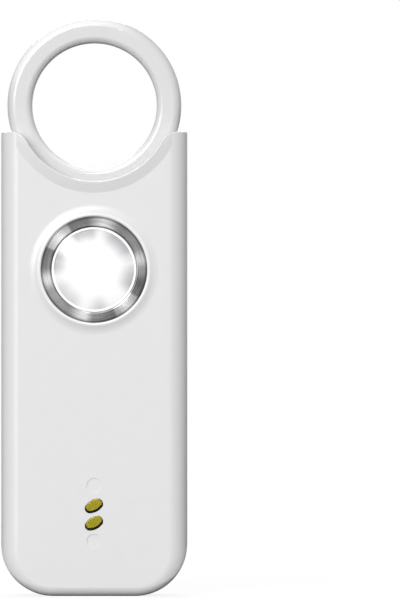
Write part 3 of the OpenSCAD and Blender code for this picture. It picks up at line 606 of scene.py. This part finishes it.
wire_tree.links.new(turns.outputs["Fac"], wire_tree.nodes["relief"].inputs["Height"])
coat(chip_black, "controller_chip")
coat(parts_tan, "surface_parts")
coat(ferrite_grey, "coil_core")
coat(copper_wire, "coil_winding")


# Light. A white light-emitting chip under a yellow phosphor dome, soldered to the front of the board, inside a cup of
# metallised plastic that throws the light forward.
chip_yellow = grained("chip_yellow", (0.85, 0.70, 0.16), (0.90, 0.78, 0.26), 0.3, grain=12000, patch=2000, depth=1e-6)
reflector_chrome = grained("reflector_chrome", (0.88, 0.88, 0.89), (0.82, 0.82, 0.83), 0.1, metal=1, depth=5e-7)
coat(chip_yellow, "light_chip")
coat(reflector_chrome, "reflector")


# Switches. The light switch under the button and the trigger switch beside the tongue are black moulded blocks soldered
# to the board, each with a small plunger. A clip of bent spring steel grips the tongue.
switch_black = grained("switch_black", (0.03, 0.03, 0.031), (0.055, 0.055, 0.056), 0.5, grain=10000, depth=2e-6)
plunger_plastic = grained("plunger_plastic", (0.60, 0.53, 0.42), (0.52, 0.46, 0.36), 0.4, patch=1500)
spring_steel = grained("spring_steel", (0.60, 0.57, 0.52), (0.50, 0.47, 0.43), 0.28, metal=1, patch=1100, depth=1e-6)
coat(switch_black, "light_switch", "trigger_switch")
coat(plunger_plastic, "light_switch_plunger", "trigger_plunger")
coat(spring_steel, "retaining_clip")


# Cell. A lithium pouch in crinkled aluminium foil, held to the board by a strip of foam. Amber tape covers the small
# guard board at its lower end, and two insulated leads run from there to the board.
cell_foil = grained(
    "cell_foil", (0.66, 0.67, 0.69), (0.56, 0.57, 0.59), 0.34, metal=1, grain=650, patch=250, depth=4e-5
)
guard_tape = grained("guard_tape", (0.62, 0.36, 0.06), (0.50, 0.27, 0.04), 0.25, grain=900, patch=400, depth=1e-5)
pad_foam = grained("pad_foam", (0.09, 0.09, 0.09), (0.14, 0.14, 0.14), 0.9, grain=2600, patch=900, depth=8e-5)
lead_red = grained("lead_red", (0.52, 0.02, 0.015), (0.42, 0.015, 0.012), 0.35, patch=1500)
lead_black = grained("lead_black", (0.02, 0.02, 0.02), (0.035, 0.035, 0.035), 0.35, patch=1500)
coat(cell_foil, "battery_cell")
coat(guard_tape, "cell_guard_board")
coat(pad_foam, "cell_pad")
coat(lead_red, "cell_lead_red")
coat(lead_black, "cell_lead_black")


# Siren. A brass disc with a fired ceramic element bonded to it, silvered in the middle. A foam gasket presses its edge
# against a seat in the rear shell, and two fine leads run to the board.
siren_centre = (0, 0, 36 * mm)
disc_brass = grained("disc_brass", (0.70, 0.50, 0.18), (0.60, 0.41, 0.13), 0.3, metal=1, patch=700)
disc_tree = disc_brass.node_tree
disc_tree.nodes["relief"].inputs["Distance"].default_value = 3e-6
disc_tree.links.new(
    lathe_lines(disc_tree, axis_at(disc_tree, siren_centre), 0.2 * mm), disc_tree.nodes["relief"].inputs["Height"]
)
siren_white = grained("siren_white", (0.78, 0.75, 0.68), (0.72, 0.69, 0.62), 0.55, grain=6000, depth=4e-6)
fired_tree = siren_white.node_tree
fired_shader = fired_tree.nodes["Principled BSDF"]
fired_axis = axis_at(fired_tree, siren_centre)
silvered = ramp(
    fired_tree, math_node(fired_tree, "MULTIPLY", fired_axis["Radius"], 1 / (10 * mm)), (0.89, 1.0), (0.91, 0.0)
)
bare_ceramic = fired_shader.inputs["Base Color"].links[0].from_socket
fired_tree.links.new(
    mixed_color(fired_tree, silvered, bare_ceramic, (0.72, 0.71, 0.69)), fired_shader.inputs["Base Color"]
)
fired_tree.links.new(silvered, fired_shader.inputs["Metallic"])
gasket_rubber = grained("gasket_rubber", (0.05, 0.05, 0.05), (0.08, 0.08, 0.08), 0.85, grain=3000, depth=6e-5)
coat(disc_brass, "siren_disc")
coat(siren_white, "siren_ceramic")
coat(gasket_rubber, "siren_gasket")
coat(lead_red, "siren_lead_ceramic")
coat(lead_black, "siren_lead_disc")


# Rear shell. White ABS like the front and moulded in the same way, with the same scooped top, the siren's sound holes
# and four sunk screw holes. Its edge takes the front shell's, and the parting line runs round the middle of the sides.
rear = merged_copy("rear_shell")
soften(rear, 0.30 * mm, 5, on_scoop, False)
soften(rear, 0.12 * mm, 2, on_pocket)
soften(rear, 0.18 * mm, 2, on_parting)
soften(rear, 0.12 * mm, 3, lambda x, depth, z: depth > 6.9 and z < 76)
crease(
    finished("rear_shell_moulding", rear, "rear_shell", "housing", "shell_white", shell_white),
    lambda x, depth, z: abs(depth - 7) < 0.003 and abs(x) < 13.9 and 3.6 < z < 76,
)


# Screws. Four zinc-plated steel screws with cross-recessed heads, driven from the back through the rear shell's posts
# into the front shell's.
screw_steel = grained("screw_steel", (0.56, 0.56, 0.57), (0.46, 0.46, 0.48), 0.3, metal=1, grain=9000, patch=1300)
screws = merged_copy("shell_screws")
soften(screws, 0.06 * mm, 2, lambda x, depth, z: depth > 5.0)
finished("shell_screw_set", screws, "shell_screws", "housing", "screw_steel", screw_steel)


# Pull ring. One moulding of white ABS, with a slightly glossier skin than the case: a round finger ring and, below it,
# the tongue that holds the trigger in. It pulls straight up from between the shells.
ring_white = grained("ring_white", (0.715, 0.715, 0.715), (0.685, 0.685, 0.685), 0.36, grain=9000, depth=8e-7)
ring_tree = ring_white.node_tree
ring_shader = ring_tree.nodes["Principled BSDF"]
ring_shader.inputs["Coat Weight"].default_value = 0.7
ring_shader.inputs["Coat Roughness"].default_value = 0.12
# Painted shade and highlights, set to follow the photograph's light: the foot is painted darker, and two edges are
# painted paler, inside below and outside at the upper left.
ring_place = ring_tree.nodes.new("ShaderNodeTexCoord")
ring_sides = ring_tree.nodes.new("ShaderNodeSeparateXYZ")
ring_tree.links.new(ring_place.outputs["Object"], ring_sides.inputs[0])
painted_shade_low = ramp(ring_tree, math_node(ring_tree, "MULTIPLY", ring_sides.outputs["Z"], 10), (0.78, 1.0), (0.90, 0.0))
ring_axis = axis_at(ring_tree, (0, 0, ring_z * mm))
painted_highlight_inner = ramp(
    ring_tree, math_node(ring_tree, "MULTIPLY", ring_axis["Radius"], 1 / (20 * mm)), (0.595, 1.0), (0.63, 0.0)
)
from_middle = math_node(ring_tree, "ABSOLUTE", ring_sides.outputs["Y"])
off_wall = ramp(ring_tree, math_node(ring_tree, "MULTIPLY", from_middle, 1 / (4 * mm)), (0.25, 0.0), (0.45, 1.0))
painted_highlight_outer = ramp(
    ring_tree, math_node(ring_tree, "MULTIPLY", ring_axis["Radius"], 1 / (20 * mm)), (0.765, 0.0), (0.79, 1.0)
)
upper_left = ramp(ring_tree, ring_axis["Angle"], (0.15, 0.0), (0.24, 1.0), (0.42, 1.0), (0.49, 0.0))
bare_ring = ring_shader.inputs["Base Color"].links[0].from_socket
painted_upper_ring = mixed_color(
    ring_tree, math_node(ring_tree, "MULTIPLY", painted_highlight_outer, upper_left), bare_ring, (0.86, 0.86, 0.86)
)
painted_lower_ring = mixed_color(
    ring_tree, math_node(ring_tree, "MULTIPLY", painted_highlight_inner, off_wall), (0.62, 0.62, 0.62), (0.92, 0.92, 0.92)
)
ring_tree.links.new(mixed_color(ring_tree, painted_shade_low, painted_upper_ring, painted_lower_ring), ring_shader.inputs["Base Color"])

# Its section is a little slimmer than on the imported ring, and it stands a little higher above the tongue.
ring = merged_copy("pull_ring")
for point in ring.verts:
    from_centre = Vector((point.co.x, 0, point.co.z - ring_z * mm))
    if from_centre.length < 16.45 * mm:
        point.co += (0.07 * mm - 0.041 * (from_centre.length - 14 * mm)) * from_centre.normalized()
    point.co.z += 0.34 * mm * min(1, max(0, (point.co.z / mm - 76) / 8))
soften(ring, 0.12 * mm, 2, lambda x, depth, z: z < 76)
finished("pull_ring_moulding", ring, "pull_ring", "ring", "ring_white", ring_white)
